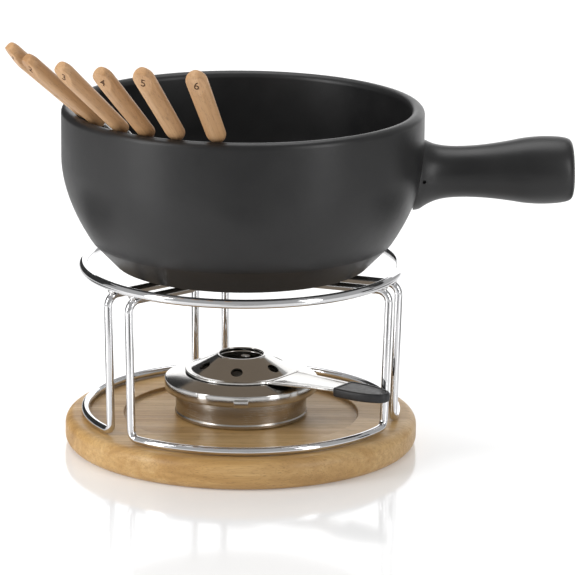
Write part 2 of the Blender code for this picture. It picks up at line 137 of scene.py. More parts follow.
AIR_HOLE_CIRCLE = 0.0238
DRILL_LENGTH = 0.009
REGULATOR_LIFT = GAP + 0.0002           # of the dome over the fixed cone
ARM_PANEL = (0.0022, 0.0006, 0.00025)   # border, width of the step, depth
GRIP_PANEL = (0.0007, 0.0004, 0.00035)
ARM_AZIMUTH = 53.5
ARM_STATIONS = (            # distance from the burner's axis, half width, height of the underside
    (0.0312, 0.0168, 0.0431), (0.0390, 0.0155, 0.0433), (0.0490, 0.0135, 0.0436),
    (0.0620, 0.0114, 0.0441), (0.0760, 0.0097, 0.0445), (0.0880, 0.0060, 0.0447))
GRIP_STATIONS = (           # distance from the burner's axis, half width
    (0.0756, 0.0080), (0.0762, 0.0095), (0.0784, 0.0104), (0.0845, 0.0106), (0.0930, 0.0102),
    (0.1000, 0.0088), (0.1055, 0.0064), (0.1085, 0.0040), (0.1096, 0.0019))
PAD_TOP = 0.0320
PAD_RELIEF = 0.0008
PAD_LUMPS = 420.0           # lumps to a metre
GAUZE_PITCH = 0.0024
GAUZE_WIRE = 0.0002
GAUZE_RIM = GAUZE_WIRE * 1.9
ROUND = 192                 # steps of the large turned pieces
MILLIMETRES = 1000.0
DOME = (                    # a wire's rounded end: share of its reach, share of its radius
    (0.0, 1.0), (0.4, 0.917), (0.7, 0.714), (0.9, 0.436), (0.98, 0.2))
TAPER = tuple((share, 1 - 0.85 * share) for share in (0.0, 0.35, 0.7, 1.0))


# ---- tools ------------------------------------------------------------------------
def meshed(name, bm):
    mesh = bpy.data.meshes.new(name)
    bm.to_mesh(mesh)
    bm.free()
    return mesh


def placed(name, data):
    made = bpy.data.objects.new(name, data)
    bpy.context.scene.collection.objects.link(made)
    return made


def verts_in(geom):
    return [item for item in geom if isinstance(item, bmesh.types.BMVert)]


def bevelled(bm, edges, width, steps):
    bmesh.ops.bevel(bm, geom=edges, offset=width, segments=steps, profile=0.5, affect="EDGES", material=-1)


def heading(azimuth):
    angle = math.radians(azimuth)
    return Vector((math.sin(angle), -math.cos(angle), 0.0))


def rounded(outline, segments):
    """An outline of (radius, height) corners; a third number rounds a corner."""
    points = []
    for index, corner in enumerate(outline):
        here = Vector(corner[:2])
        if len(corner) == 2:
            points.append(tuple(here))
            continue
        back = (Vector(outline[index - 1][:2]) - here).normalized()
        ahead = (Vector(outline[(index + 1) % len(outline)][:2]) - here).normalized()
        half = back.angle(ahead) / 2
        centre = here + (back + ahead).normalized() * corner[2] / math.sin(half)
        start = here + back * corner[2] / math.tan(half) - centre
        sweep = (here + ahead * corner[2] / math.tan(half) - centre).angle_signed(start)
        for i in range(segments + 1):
            spoke = start.copy()
            spoke.rotate(Matrix.Rotation(sweep * i / segments, 2))
            points.append(tuple(centre + spoke))
    return points


def eased(stations, steps):
    """A smooth run of stations through the given ones."""
    rows = [Vector(row) for row in stations]
    rows = [rows[0] * 2 - rows[1], *rows, rows[-1] * 2 - rows[-2]]
    result = []
    for a, b, c, d in zip(rows, rows[1:], rows[2:], rows[3:]):
        for i in range(steps):
            t = i / steps
            result.append((b * 2 + (c - a) * t + (a * 2 - b * 5 + c * 4 - d) * t ** 2
                           + (b * 3 - a - c * 3 + d) * t ** 3) / 2)
    return result + [rows[-2]]


def circle(radius, height, size, sides):
    """The outline of a round section, to be turned into a ring."""
    angles = [math.tau * i / sides for i in range(sides)]
    return [(radius + size * math.cos(angle), height + size * math.sin(angle)) for angle in angles]


def turned(outline, steps=ROUND, axis=(0.0, 0.0), closed=False):
    """A bmesh turned about an upright axis; a closed outline makes a hollow ring."""
    bm = bmesh.new()
    verts = [bm.verts.new((axis[0] + radius, axis[1], height)) for radius, height in outline]
    edges = [bm.edges.new(pair) for pair in zip(verts, verts[1:])]
    if closed:
        edges.append(bm.edges.new((verts[-1], verts[0])))
    bmesh.ops.spin(bm, geom=verts + edges, cent=(axis[0], axis[1], 0.0), axis=(0.0, 0.0, 1.0),
                   angle=math.tau, steps=steps, use_merge=True)
    bmesh.ops.remove_doubles(bm, verts=bm.verts, dist=1e-6)
    bmesh.ops.recalc_face_normals(bm, faces=bm.faces)
    return bm


def frames(path, sizes):
    """The place of a section at each point of a path, without twist."""
    along = (path[1] - path[0]).normalized()
    across = along.orthogonal().normalized()
    places = []
    for index, point in enumerate(path):
        before, after = path[max(index - 1, 0)], path[min(index + 1, len(path) - 1)]
        ahead = (after - before).normalized()
        across = (across - ahead * across.dot(ahead)).normalized()
        turn = Matrix((across, ahead.cross(across), ahead)).transposed().to_4x4()
        places.append(Matrix.Translation(point) @ turn @ Matrix.Scale(sizes[index], 4))
    return places


def drawn(places, radius, sides=16, squarer=1.0):
    """A rod whose round section is set at each place in turn, closed at both ends."""
    bm = bmesh.new()
    ring = bmesh.ops.create_circle(bm, segments=sides, radius=radius)["verts"]
    for vert in ring:
        for i in (0, 1):
            vert.co[i] = math.copysign(radius * abs(vert.co[i] / radius) ** squarer, vert.co[i])
    edges = list(bm.edges)
    bmesh.ops.transform(bm, matrix=places[0], verts=ring)
    for before, after in zip(places, places[1:]):
        grown = bmesh.ops.extrude_edge_only(bm, edges=edges)["geom"]
        ring = verts_in(grown)
        edges = [item for item in grown if isinstance(item, bmesh.types.BMEdge) and item.is_boundary]
        bmesh.ops.transform(bm, matrix=after @ before.inverted(), verts=ring)
    bmesh.ops.holes_fill(bm, edges=[edge for edge in bm.edges if edge.is_boundary], sides=sides)
    bmesh.ops.recalc_face_normals(bm, faces=bm.faces)
    return bm


def wire(path, radius, sides=16, tip=0.0):
    """A rod along a path, with domed or tapered ends."""
    path = list(path)
    sizes = [1.0] * len(path)
    reach, shape = (tip, TAPER) if tip else (radius, DOME)
    for at, step in ((0, 1), (-1, -1)):
        end, ahead = path[at], (path[at] - path[at + step]).normalized()
        points = [end - ahead * reach * (1 - share) for share, size in shape]
        shares = [size for share, size in shape]
        if at == 0:
            path[:1], sizes[:1] = points[::-1], shares[::-1]
        else:
            path[-1:], sizes[-1:] = points, shares
    return drawn(frames(path, sizes), radius, sides)


def bend(before, corner, after, radius, count=8):
    """The arc that rounds a corner of a path."""
    back, ahead = (before - corner).normalized(), (after - corner).normalized()
    half = back.angle(ahead) / 2
    centre = corner + (back + ahead).normalized() * radius / math.sin(half)
    start = corner + back * radius / math.tan(half) - centre
    end = corner + ahead * radius / math.tan(half) - centre
    return [centre + start.slerp(end, i / count).normalized() * radius for i in range(count + 1)]


def joined(parts):
    """One bmesh out of several."""
    whole = bmesh.new()
    for part in parts:
        mesh = meshed("part", part)
        whole.from_mesh(mesh)
        bpy.data.meshes.remove(mesh)
    return whole


def cut(bm, cutter, operation="DIFFERENCE", finishes=()):
    """The bmesh with another one taken away from it, or added to it, worked out in
    millimetres because the solver's own tolerances are too coarse for metres."""
    things = []
    for index, source in enumerate((bm, cutter)):
        bmesh.ops.scale(source, verts=source.verts, vec=[MILLIMETRES] * 3)
        mesh = meshed("cut", source)
        if finishes:
            mesh.materials.append(finishes[index])
        things.append(placed("cut", mesh))
    blade = things[0].modifiers.new("cut", "BOOLEAN")
    blade.object, blade.operation, blade.solver = things[1], operation, "EXACT"
    blade.material_mode = "TRANSFER" if finishes else "INDEX"
    blade.use_self = True
    view = bpy.context.evaluated_depsgraph_get()
    view.update()
    result = bmesh.new()
    mesh = bpy.data.meshes.new_from_object(things[0].evaluated_get(view))
    result.from_mesh(mesh)
    for thing in things:
        bpy.data.meshes.remove(thing.data)
    bpy.data.meshes.remove(mesh)
    bmesh.ops.scale(result, verts=result.verts, vec=[1 / MILLIMETRES] * 3)
    return result


def piece(name, bm, body, finish, nodes=(), crease=35.0):
    """Makes a named piece of a bmesh, on its body, in place of its CAD nodes."""
    mesh = meshed(name, bm)
    for material in finish if isinstance(finish, tuple) else (finish,):
        mesh.materials.append(material)
    mesh.shade_smooth()
    mesh.set_sharp_from_angle(angle=math.radians(crease))
    made = placed(name, mesh)
    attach(made, body)
    if nodes:
        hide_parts(*nodes)


# ---- finishes ---------------------------------------------------------------------
class Finish:
    """A principled material whose patterns are added one by one."""

    def __init__(self, name, colour, roughness, metallic=0.0, source="object", centre=(0, 0, 0), **sockets):
        self.material = bpy.data.materials.new(name)
        self.material.use_nodes = True
        self.tree = self.material.node_tree
        self.surface = self.tree.nodes["Principled BSDF"]
        self.surface.inputs["Base Color"].default_value = (*colour, 1.0)
        self.surface.inputs["Roughness"].default_value = roughness
        self.surface.inputs["Metallic"].default_value = metallic
        for socket, value in sockets.items():
            self.surface.inputs[socket.replace("_", " ")].default_value = value
        if source == "object":
            self.place = self.add("ShaderNodeTexCoord").outputs["Object"]
        else:
            holder = self.add("ShaderNodeAttribute")
            holder.attribute_name = source
            self.place = holder.outputs["Vector"]
        if centre != (0, 0, 0):
            self.place = self.mapped((1, 1, 1), [-c for c in centre])

    def add(self, kind, **settings):
        made = self.tree.nodes.new(kind)
        for name, value in settings.items():
            setattr(made, name, value)
        return made

    def link(self, source, socket):
        """Joins an output to an input, or sets the input to a plain value."""
        if hasattr(source, "is_output"):
            self.tree.links.new(source, socket)
        else:
            socket.default_value = source

    def mapped(self, scale, move=(0, 0, 0)):
        mapping = self.add("ShaderNodeMapping")
        mapping.inputs["Location"].default_value = move
        mapping.inputs["Scale"].default_value = scale
        self.link(self.place, mapping.inputs["Vector"])
        return mapping.outputs["Vector"]

    def ringed(self, scale):
        """Coordinates of distance from the axis, height, and a little of the way round."""
        split = self.add("ShaderNodeSeparateXYZ")
        self.link(self.place, split.inputs[0])
        flat = self.add("ShaderNodeCombineXYZ")
        self.link(split.outputs[0], flat.inputs[0])
        self.link(split.outputs[1], flat.inputs[1])
        length = self.add("ShaderNodeVectorMath", operation="LENGTH")
        self.link(flat.outputs[0], length.inputs[0])
        rings = self.add("ShaderNodeCombineXYZ")
        for index, source in enumerate((length.outputs["Value"], split.outputs[2], split.outputs[0])):
            self.link(self.sum("MULTIPLY", source, scale[index]), rings.inputs[index])
        return rings.outputs[0]

    def noise(self, where, detail=4.0, rough=0.55, twist=0.0):
        made = self.add("ShaderNodeTexNoise")
        self.link(where, made.inputs["Vector"])
        settings = {"Scale": 1.0, "Detail": detail, "Roughness": rough, "Distortion": twist}
        for socket, value in settings.items():
            made.inputs[socket].default_value = value
        return made.outputs["Fac"]

    def cells(self, where):
        """Distance from the middles of small cells."""
        made = self.add("ShaderNodeTexVoronoi")
        self.link(where, made.inputs["Vector"])
        made.inputs["Scale"].default_value = 1.0
        return made.outputs["Distance"]

    def range(self, value, low, high, to_low=0.0, to_high=1.0):
        made = self.add("ShaderNodeMapRange")
        for index, item in enumerate((value, low, high, to_low, to_high)):
            self.link(item, made.inputs[index])
        return made.outputs[0]

    def sum(self, operation, a, b=0.0):
        made = self.add("ShaderNodeMath", operation=operation)
        self.link(a, made.inputs[0])
        self.link(b, made.inputs[1])
        return made.outputs[0]

    def ramp(self, value, *stops):
        made = self.add("ShaderNodeValToRGB")
        self.link(value, made.inputs[0])
        elements = made.color_ramp.elements
        while len(elements) < len(stops):
            elements.new(0.5)
        for element, (at, colour) in zip(elements, stops):
            element.position = at
            element.color = (*colour, 1.0)
        return made.outputs["Color"]

    def mix(self, share, a, b):
        made = self.add("ShaderNodeMix", data_type="RGBA")
        for item, socket in ((share, made.inputs[0]), (a, made.inputs[6]), (b, made.inputs[7])):
            self.link((*item, 1.0) if isinstance(item, tuple) else item, socket)
        return made.outputs[2]

    def colour(self, source):
        self.link(source, self.surface.inputs["Base Color"])

    def roughness(self, source):
        self.link(source, self.surface.inputs["Roughness"])

    def bump(self, *layers):
        """Relief out of (height source, depth in metres) layers."""
        normal = None
        for height, depth in layers:
            made = self.add("ShaderNodeBump")
            made.inputs["Strength"].default_value = 1.0
            made.inputs["Distance"].default_value = depth
            self.link(height, made.inputs["Height"])
            if normal:
                self.link(normal, made.inputs["Normal"])
            normal = made.outputs["Normal"]
        self.link(normal, self.surface.inputs["Normal"])


def beech(name, pale, mid, dark, along, coat, source="object"):
    """Straight-grained beech: growth bands, pores and short ray flecks along the grain."""
    finish = Finish(name, mid, 0.45, source=source, Coat_Weight=coat, Coat_Roughness=0.3)

    def stretched(long, across):
        return finish.mapped([long if i == along else across for i in range(3)])

    growth = finish.noise(stretched(3.0, 55.0), detail=5.0, rough=0.6, twist=0.4)
    streaks = finish.noise(stretched(9.0, 420.0), detail=4.0, rough=0.65)
    pores = finish.range(finish.noise(stretched(130.0, 1900.0), detail=2.0, rough=0.5), 0.60, 0.72)
    flecks = finish.range(finish.cells(stretched(190.0, 900.0)), 0.10, 0.26, 1.0, 0.0)
    patches = finish.noise(stretched(8.0, 14.0), detail=2.0)
    base = finish.ramp(growth, (0.34, dark), (0.48, mid), (0.62, pale))
    base = finish.mix(finish.range(streaks, 0.38, 0.68, 0.0, 0.62), base, dark)
    base = finish.mix(finish.range(patches, 0.35, 0.65, 0.0, 0.28), base, pale)
    deep = tuple(c * 0.42 for c in dark)
    base = finish.mix(finish.sum("MULTIPLY", pores, 0.5), base, deep)
    base = finish.mix(finish.sum("MULTIPLY", flecks, 0.32), base, deep)
    finish.colour(base)
    finish.roughness(finish.range(streaks, 0.3, 0.7, 0.40, 0.56))
    finish.bump((growth, 0.00012), (streaks, 0.00008), (pores, -0.00006))
    return finish.material


def plating(name, colour, roughness, wear=0.03):
    """Polished chrome: faint waviness, fine wiping marks and duller patches."""
    finish = Finish(name, colour, roughness, metallic=1.0)
    patches = finish.noise(finish.mapped((60, 60, 60)), detail=3.0)
    wiped = finish.noise(finish.mapped((900, 900, 3500)), detail=3.0)
    marks = finish.sum("ADD", finish.range(patches, 0.35, 0.7, 0.0, wear),
                       finish.range(wiped, 0.3, 0.75, 0.0, wear))
    finish.roughness(finish.sum("ADD", marks, roughness))
    finish.colour(finish.mix(finish.range(patches, 0.3, 0.7), colour, tuple(c * 0.94 for c in colour)))
    finish.bump((finish.noise(finish.mapped((130, 130, 130)), detail=1.0), 0.00003), (wiped, 0.0000015))
    return finish.material


def brushing(name, colour, roughness, spread=0.12):
    """Steel brushed on the lathe, so that the lines run round the burner's axis."""
    line_depth = 0.000004
    finish = Finish(name, colour, roughness, metallic=1.0, centre=(BURNER.x, BURNER.y, 0.0),
                    Anisotropic=0.35)
    lines = finish.noise(finish.ringed((3800, 3800, 25)), detail=4.0, rough=0.7)
    broad = finish.noise(finish.ringed((700, 700, 12)), detail=2.0)
    patches = finish.noise(finish.mapped((70, 70, 70)), detail=3.0)
    sheen = finish.range(lines, 0.25, 0.75, roughness - spread / 2, roughness + spread)
    finish.roughness(finish.sum("ADD", sheen, finish.range(patches, 0.4, 0.7, 0.0, 0.06)))
    finish.colour(finish.mix(finish.range(broad, 0.3, 0.7), colour, tuple(c * 0.88 for c in colour)))
    finish.bump((lines, line_depth), (broad, line_depth * 2))
    return finish.material


def make_glaze():
    """Satin black glaze: soft clouds, a fine grain and a few pinholes."""
    finish = Finish("satin_black_glaze", (0.011, 0.011, 0.0115), 0.36, Specular_IOR_Level=0.42)
    grain = finish.noise(finish.mapped((2600, 2600, 2600)), detail=3.0, rough=0.6)
    clouds = finish.noise(finish.mapped((38, 38, 38)), detail=4.0)
    pinholes = finish.range(finish.cells(finish.mapped((420, 420, 420))), 0.02, 0.09, 1.0, 0.0)
    finish.colour(finish.mix(finish.range(clouds, 0.3, 0.7), (0.0085, 0.0085, 0.009), (0.014, 0.0138, 0.014)))
    finish.roughness(finish.sum("ADD", finish.range(clouds, 0.3, 0.7, 0.31, 0.38),
                                finish.range(grain, 0.3, 0.7, 0.0, 0.07)))
    finish.bump((clouds, 0.00022), (grain, 0.000012), (pinholes, -0.00003))
    return finish.material


def make_plastic():
    """Moulded black plastic with a fine leathery grain."""
    roughness, relief = 0.40, 0.00006
    finish = Finish("grained_black_plastic", (0.022, 0.022, 0.024), roughness)
    grain = finish.cells(finish.mapped((1500, 1500, 1500)))
    soft = finish.noise(finish.mapped((320, 320, 320)), detail=3.0)
    finish.colour(finish.mix(finish.range(soft, 0.3, 0.7), (0.009, 0.009, 0.010), (0.019, 0.019, 0.021)))
    finish.roughness(finish.range(soft, 0.3, 0.7, roughness - 0.05, roughness + 0.08))
    finish.bump((grain, relief), (soft, relief * 0.6))
    return finish.material


def make_wadding():
    """White mineral wool, soaked darker here and there."""
    finish = Finish("mineral_wool", (0.74, 0.72, 0.67), 0.95, Sheen_Weight=0.3)
    fibres = finish.noise(finish.mapped((700, 700, 700)), detail=6.0, rough=0.75, twist=2.5)
    blots = finish.noise(finish.mapped((60, 60, 60)), detail=4.0)
    soaked = finish.sum("MULTIPLY", fibres, finish.range(blots, 0.3, 0.7, 0.7, 1.25))
    finish.colour(finish.ramp(soaked, (0.25, (0.42, 0.38, 0.31)), (0.5, (0.70, 0.67, 0.61)),
                              (0.75, (0.86, 0.85, 0.81))))
    finish.bump((fibres, 0.0005), (blots, 0.0004))
    return finish.material


def make_scorch():
    """Burned-in brown of the numerals."""
    finish = Finish("scorched_beech", (0.07, 0.032, 0.014), 0.8, source="stick")
    char = finish.noise(finish.mapped((1800, 1800, 600)), detail=4.0)
    finish.colour(finish.ramp(char, (0.3, (0.045, 0.02, 0.009)), (0.7, (0.15, 0.07, 0.03))))
    finish.roughness(finish.range(char, 0.3, 0.7, 0.7, 0.9))
    finish.bump((char, 0.0001))
    return finish.material


# ---- board ------------------------------------------------------------------------
def make_board(wood):
    floor = BOARD_TOP - RECESS_DEPTH
    outline = rounded([(0.0, floor), (RECESS_RADIUS, floor, 0.0013), (RECESS_RADIUS, BOARD_TOP, 0.0008),
                       (BOARD_RADIUS, BOARD_TOP, BOARD_EDGE), (BOARD_RADIUS, 0.0, BOARD_EDGE),
                       (0.0, 0.0)], 10)
    piece("board", turned(outline), "board", wood, ("wooden_board",))


# ---- wire stand -------------------------------------------------------------------
def stand_path(first_pair, second_pair):
    """One bent wire, from under the pot by one pair of legs to under the pot by the next."""
    foot_height = BOARD_TOP + GAP + LEG_WIRE
    top_height = POT_BASE - GAP - LEG_WIRE
    corners = []
    for azimuth, side in ((first_pair, 1), (second_pair, -1)):
        out, across = heading(azimuth), heading(azimuth + 90) * side * LEG_SPREAD
        reach = math.sqrt(ARC_RADIUS ** 2 - LEG_SPREAD ** 2)
        row = [out * SUPPORT_INNER + across, out * LEG_TOP_RADIUS + across, out * reach + across]
        row[0].z = row[1].z = top_height
        row[2].z = foot_height
        corners.append(row)
    offset = math.degrees(math.asin(LEG_SPREAD / ARC_RADIUS))
    start, end = first_pair + offset, second_pair - offset
    floor_arc = [heading(start + (end - start) * i / ARC_STEPS) * ARC_RADIUS + Vector((0, 0, foot_height))
                 for i in range(ARC_STEPS + 1)]
    (inner_a, knee_a, foot_a), (inner_b, knee_b, foot_b) = corners
    lying = floor_arc[4:-4]
    return [inner_a, *bend(inner_a, knee_a, foot_a, KNEE_BEND), *bend(knee_a, foot_a, lying[0], FOOT_BEND),
            *lying, *bend(lying[-1], foot_b, knee_b, FOOT_BEND),
            *bend(foot_b, knee_b, inner_b, KNEE_BEND), inner_b]


def make_stand(chrome, weld):
    ring_height = (RING_LOW.z + RING_HIGH.z) / 2
    section = circle(RING_RADIUS, ring_height, RING_WIRE, WIRE_SIDES)
    piece("stand_top_ring", turned(section, closed=True), "stand", chrome,
          ("stand_ring",), 60)
    pairs = (*PAIR_AZIMUTHS, PAIR_AZIMUTHS[0] + 360)
    for index, side in enumerate(("front", "back", "left")):
        piece(f"stand_bent_wire_{side}", wire(stand_path(pairs[index], pairs[index + 1]), LEG_WIRE), "stand",
              chrome, (f"stand_wire_{side}",), 60)
    beads = []
    knee = Vector((LEG_TOP_RADIUS - KNEE_BEND, POT_BASE - GAP - LEG_WIRE - KNEE_BEND))
    to_ring = Vector((RING_RADIUS, ring_height)) - knee
    middle = (KNEE_BEND + LEG_WIRE + to_ring.length - RING_WIRE) / 2
    centre = knee + to_ring.normalized() * middle
    for azimuth in PAIR_AZIMUTHS:
        for side in (-1, 1):
            bead = bmesh.new()
            bmesh.ops.create_icosphere(bead, subdivisions=4, radius=1.0)
            out, across = heading(azimuth), heading(azimuth + 90)
            up = (out * to_ring.x + Vector((0, 0, to_ring.y))).normalized()
            axes = (across, up.cross(across), up)
            turn = Matrix([axis * size for axis, size in zip(axes, WELD_BEAD)]).transposed().to_4x4()
            spot = heading(azimuth + side * math.degrees(math.asin(LEG_SPREAD / centre.x))) * centre.x
            spot.z = centre.y
            bmesh.ops.transform(bead, verts=bead.verts, matrix=Matrix.Translation(spot) @ turn)
            bmesh.ops.recalc_face_normals(bead, faces=bead.faces)
            beads.append(bead)
    piece("stand_weld_beads", joined(beads), "stand", weld, (), 60)


# ---- pot --------------------------------------------------------------------------
def pot_wall(height):
    """Outer radius of the bowl between the ridge of its foot band and its upright rim."""
    fall = max(0.0, (BELLY_TOP - height) / (BELLY_TOP - BAND_HEIGHT))
    return POT_RADIUS - (POT_RADIUS - BAND_RADIUS) * fall ** 1.85


def make_pot(glaze):
    inner = POT_RADIUS - 2 * LIP_RADIUS
    spring = BELLY_TOP - 0.005
    outline = [(0.0, POT_FLOOR)]
    for i in range(33):
        angle = math.radians(90 - 90 * i / 32)
        outline.append((FLOOR_RADIUS + (inner - FLOOR_RADIUS) * math.cos(angle),
                        spring - (spring - POT_FLOOR) * math.sin(angle)))
    for i in range(17):
        angle = math.radians(180 - 180 * i / 16)
        outline.append((POT_RADIUS - LIP_RADIUS + LIP_RADIUS * math.cos(angle),
                        POT_TOP - LIP_RADIUS + LIP_RADIUS * math.sin(angle)))
    for i in range(29):
        height = BELLY_TOP + (BAND_HEIGHT + 0.0012 - BELLY_TOP) * i / 28
        outline.append((pot_wall(height), height))
    outline += rounded([outline[-1], (BAND_RADIUS + 0.0002, BAND_HEIGHT + 0.0004, 0.0014),
                        (FOOT_RADIUS, FOOT_HEIGHT, 0.0022), (BASE_RADIUS, POT_BASE, 0.0012),
                        (0.0, POT_BASE)], 6)[1:]
    piece("pot_bowl", turned(outline), "pot", glaze, ("pot_body",), 50)


def make_pot_handle(glaze):
    """Turned about its own axis, with a small vent hole, and seated on the curve of the bowl."""
    outline = [(radius, along) for along, radius in eased(HANDLE_OUTLINE, 4)]
    bm = turned([(0.0, outline[0][1]), *outline, (0.0, outline[-1][1] + 0.0001)], 96)
    vent = bmesh.new()
    bmesh.ops.create_cone(vent, segments=24, radius1=VENT_RADII[0], radius2=VENT_RADII[1], depth=VENT_DEPTH,
                          cap_ends=True)
    bmesh.ops.rotate(vent, verts=vent.verts, matrix=Matrix.Rotation(math.radians(90), 3, "X"))
    bmesh.ops.translate(vent, verts=vent.verts, vec=VENT_PLACE)
    bm = cut(bm, vent)
    tilt = Matrix.Rotation(math.radians(90 - HANDLE_TILT), 4, "Y")
    bmesh.ops.transform(bm, verts=bm.verts, matrix=Matrix.Translation((0.0, 0.0, HANDLE_AXIS)) @ tilt)
    for vert in bm.verts:
        seat = pot_wall(vert.co.z) - HANDLE_SEAT
        if vert.co.xy.length < seat:
            vert.co.x = math.sqrt(seat ** 2 - vert.co.y ** 2)
    piece("pot_stub_handle", bm, "pot", glaze, ("pot_handle",), 45)


# ---- forks ------------------------------------------------------------------------
def stick_frame(number):
    """A fork's place as a matrix (X across, Y up, Z along, from the start of its handle),
    the length of its handle, and where its prongs end along Z."""
    joint = next(row for row in frame["joints"] if row["child"] == f"fork_{number}")
    along = Vector(joint["axis"]).normalized()
    steel = [vert.co for vert in frame["nodes"][f"fork_{number}_prongs"].data.vertices]
    wood = [vert.co.dot(along) for vert in frame["nodes"][f"fork_{number}_handle"].data.vertices]
    furthest = max(point.dot(along) for point in steel)
    ends = [point for point in steel if furthest - point.dot(along) < 1e-5]
    axis = sum(ends, Vector()) / len(ends)
    apart = [(point - axis) - along * (point - axis).dot(along) for point in steel]
    widest = max(apart, key=lambda offset: offset.length)
    across = sum((offset if offset.dot(widest) > 0 else -offset for offset in apart), Vector()).normalized()
    above = along.cross(across).normalized()
    if above.z < 0:
        above.negate()
    start = axis + along * (min(wood) - axis.dot(along))
    turn = Matrix((above.cross(along), above, along)).transposed().to_4x4()
    tip = min(point.dot(along) for point in steel) - min(wood)
    return Matrix.Translation(start) @ turn, max(wood) - min(wood), tip


def numeral(number, place):
    """A numeral standing upright on the slanted flat of a handle, in the handle's own frame."""
    curve = bpy.data.curves.new("numeral", "FONT")
    curve.body = str(number)
    curve.size = NUMERAL_SIZE
    curve.align_x, curve.align_y = "CENTER", "CENTER"
    curve.extrude = 1.0
    curve.offset = NUMERAL_WEIGHT
    curve.resolution_u = 6
    holder = placed("numeral", curve)
    view = bpy.context.evaluated_depsgraph_get()
    mesh = bpy.data.meshes.new_from_object(holder.evaluated_get(view))
    bm = bmesh.new()
    bm.from_mesh(mesh)
    bpy.data.objects.remove(holder)
    bpy.data.meshes.remove(mesh)
    bmesh.ops.remove_doubles(bm, verts=bm.verts, dist=1e-6)
    bmesh.ops.recalc_face_normals(bm, faces=bm.faces)
    bmesh.ops.scale(bm, verts=bm.verts, vec=(1.0, NUMERAL_STRETCH, NUMERAL_DEPTH))
    bmesh.ops.transform(bm, verts=bm.verts, matrix=place)
    return bm


def fork_handle(number, turn, length, wood, scorch):
    """Flat oval stick with rounded ends, a slanted flat and a scorched numeral."""
    def share(height):
        return [part + (1 - part) * height / length for part in FORK_TAPER]

    stations = list(FORK_ENDS)
    rounding = FORK_ENDS[-1][0]
    stations += [(rounding + (length - 2 * rounding) * i / 10, 1.0) for i in range(1, 10)]
    stations += [(length - depth, size) for depth, size in reversed(FORK_ENDS)]
    places = []
    for height, size in stations:
        wide, thick = share(height)
        places.append(Matrix.Translation((0, 0, height)) @ Matrix.Diagonal(
            (FORK_WIDTH / 2 * wide * size, FORK_THICKNESS / 2 * thick * size ** 0.3, 1.0, 1.0)))
    bm = drawn(places, 1.0, FORK_SIDES, FORK_SQUARENESS)
    slant = Vector((0.0, FLAT_DEPTH, FLAT_LENGTH)).normalized()
    face = Vector((0.0, -slant.z, slant.y))
    corner = Vector((0.0, -FORK_THICKNESS / 2, length - FLAT_LENGTH))
    sliced = bmesh.ops.bisect_plane(bm, geom=[*bm.verts, *bm.edges, *bm.faces], plane_co=corner,
                                    plane_no=face, clear_outer=True)["geom_cut"]
    rim = [item for item in sliced if isinstance(item, bmesh.types.BMEdge)]
    bmesh.ops.contextual_create(bm, geom=rim)
    bevelled(bm, rim, 0.00035, 2)
    bmesh.ops.recalc_face_normals(bm, faces=bm.faces)
    to_front = turn.to_3x3().inverted()
    upright = face.cross(to_front @ Vector((1.0, 0.0, 0.0))).normalized()
    if (to_front @ Vector((0.0, 0.0, 1.0))).dot(upright) < 0:
        upright.negate()
    middle = corner + slant * (FLAT_LENGTH * 0.55)
    place = Matrix((upright.cross(face), upright, face)).transposed().to_4x4()
    blade = numeral(number, Matrix.Translation(middle) @ place)
    bm = cut(bm, blade, finishes=(wood, scorch))
    own = bm.verts.layers.float_vector.new("stick")
    for vert in bm.verts:
        vert[own] = vert.co + Vector((number * 0.37, number * 0.11, number * 0.23))
    bmesh.ops.transform(bm, verts=bm.verts, matrix=turn)
    piece(f"fork_{number}_stick", bm, f"fork_{number}", (wood, scorch),
          (f"fork_{number}_handle",), 40)


def fork_steel(number, turn, tip, steel):
    """The shaft with its collar, and two prongs bent out of one wire."""
    crook, half = tip + PRONG_LENGTH, PRONG_SPACING / 2
    arch = [Vector((-half * math.cos(math.radians(9 * i)), 0.0, crook + half * math.sin(math.radians(9 * i))))
            for i in range(21)]
    prongs = wire([Vector((-half, 0, tip)), Vector((-half, 0, tip + 0.008)), *arch,
                   Vector((half, 0, tip + 0.008)), Vector((half, 0, tip))], PRONG_WIRE, tip=PRONG_TAPER)
    shaft = wire([Vector((0, 0, crook + half - PRONG_WIRE)), Vector((0, 0, crook + half + 0.006)),
                  Vector((0, 0, -0.003)), Vector((0, 0, 0.0012))], FORK_SHAFT, 20)
    near, far = -COLLAR_GAP, -COLLAR_GAP - COLLAR_LENGTH
    collar = turned(rounded([(0.0, far), (COLLAR_RADIUS, far, 0.0004), (COLLAR_RADIUS, near, 0.0003),
                             (0.0, near)], 3), 32)
    bm = joined([prongs, shaft, collar])
    own = bm.verts.layers.float_vector.new("stick")
    for vert in bm.verts:
        vert[own] = vert.co + Vector((number * 0.37, 0.0, 0.0))
    bmesh.ops.transform(bm, verts=bm.verts, matrix=turn)
    piece(f"fork_{number}_steel", bm, f"fork_{number}", steel,
          (f"fork_{number}_prongs",), 50)


# ---- burner -----------------------------------------------------------------------
def make_cup(steel):
    floor = CUP_LOW.z
    outline = rounded([(0.0, floor + PAN_SHEET), (PAN_INNER, floor + PAN_SHEET, 0.0012),
                       (PAN_INNER, CUP_HIGH.z, 0.0004),
                       (CUP_RADIUS - 0.0002, CUP_HIGH.z, 0.0004),
                       (CUP_RADIUS - 0.0005, floor + 0.0030, 0.0005),
                       (CUP_RADIUS, floor + 0.0022, 0.0004), (CUP_RADIUS, floor, 0.0008),
                       (CUP_RADIUS - 0.003, floor, 0.0005), (CUP_RADIUS - 0.0034, floor + 0.0004, 0.0003),
                       (0.0, floor + 0.0004)], 4)
    piece("burner_pan", turned(outline, axis=BURNER.xy), "burner", steel,
          ("burner_cup",), 40)


